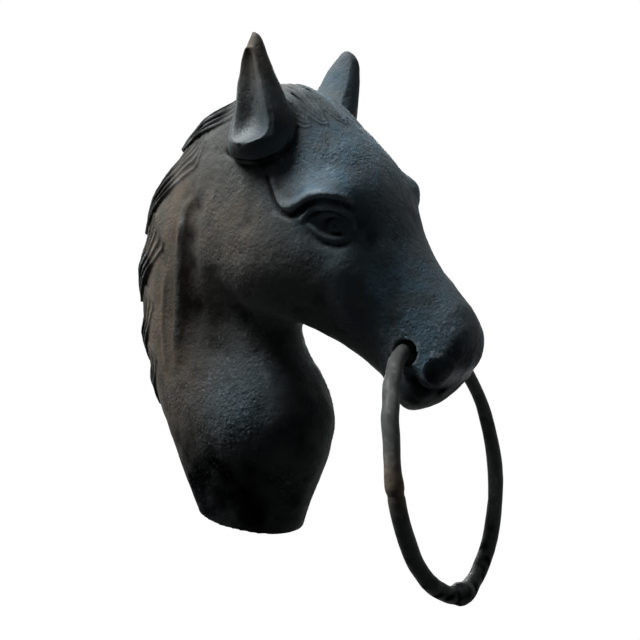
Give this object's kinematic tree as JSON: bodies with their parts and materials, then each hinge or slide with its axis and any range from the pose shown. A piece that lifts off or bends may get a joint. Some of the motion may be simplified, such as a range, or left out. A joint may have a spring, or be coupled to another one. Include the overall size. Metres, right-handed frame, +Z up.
{
  "type": "hitching post top",
  "caption": "Cast iron horse head that tops a hitching post, with a swinging tie ring through the muzzle and a sleeve for a round post.",
  "frame": {"origin": "middle of the post sleeve's mouth", "axes": "+X towards the nose, +Y towards the horse's left, +Z up along the post"},
  "size_m": [0.2578, 0.1584, 0.3334],
  "materials": {
    "black_iron": "worn semi-matt black paint over rough sand-cast iron",
    "ring_iron": "worn black paint over a bent round bar",
    "sleeve_steel": "dull dark steel",
    "screw_steel": "blackened steel"
  },
  "bodies": {
    "head": {"right_half": "black_iron", "left_half": "black_iron", "post_socket": "sleeve_steel", "set_screws": "screw_steel", "neck_screw": "screw_steel", "cheek_screw": "screw_steel", "face_screw": "screw_steel", "locating_pins": "screw_steel"},
    "ring": {"hitching_ring": "ring_iron"}
  },
  "joints": [
    {"name": "ring_swing", "type": "hinge", "parent": "head", "child": "ring", "pos_m": [0.131, 0, 0.1135], "axis": [0.0872, -0.9962, 0], "range_deg": [-42, 178]}
  ]
}
